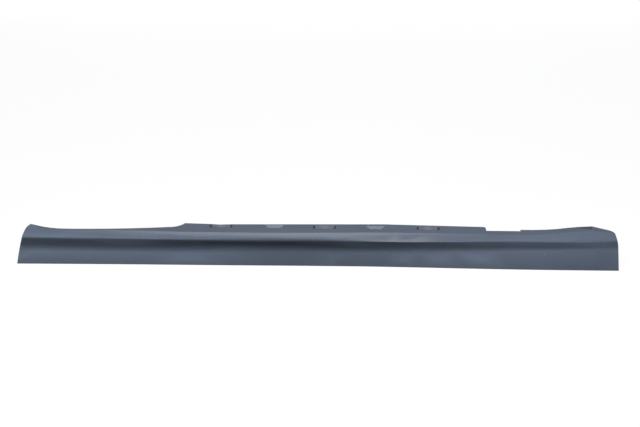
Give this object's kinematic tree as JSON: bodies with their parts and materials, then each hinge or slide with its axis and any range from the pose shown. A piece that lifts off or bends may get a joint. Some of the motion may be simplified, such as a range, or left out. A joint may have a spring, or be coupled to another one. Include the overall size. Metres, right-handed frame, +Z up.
{
  "type": "car side skirt",
  "caption": "Long moulded side skirt that covers a car's sill between the wheel arches, with a groove along its outer face and clip seats in its top flange.",
  "frame": {"origin": "middle of the panel's length and depth, on the surface that its bottom flange stands on", "axes": "+X along the car towards the front end, -Y out of the car through the styled face, +Z up"},
  "size_m": [2.05, 0.0838, 0.1423],
  "materials": {
    "primed_plastic": "dark slate-blue satin primer on moulded polypropylene"
  },
  "bodies": {
    "root": {"skirt_panel": "primed_plastic"}
  },
  "joints": []
}
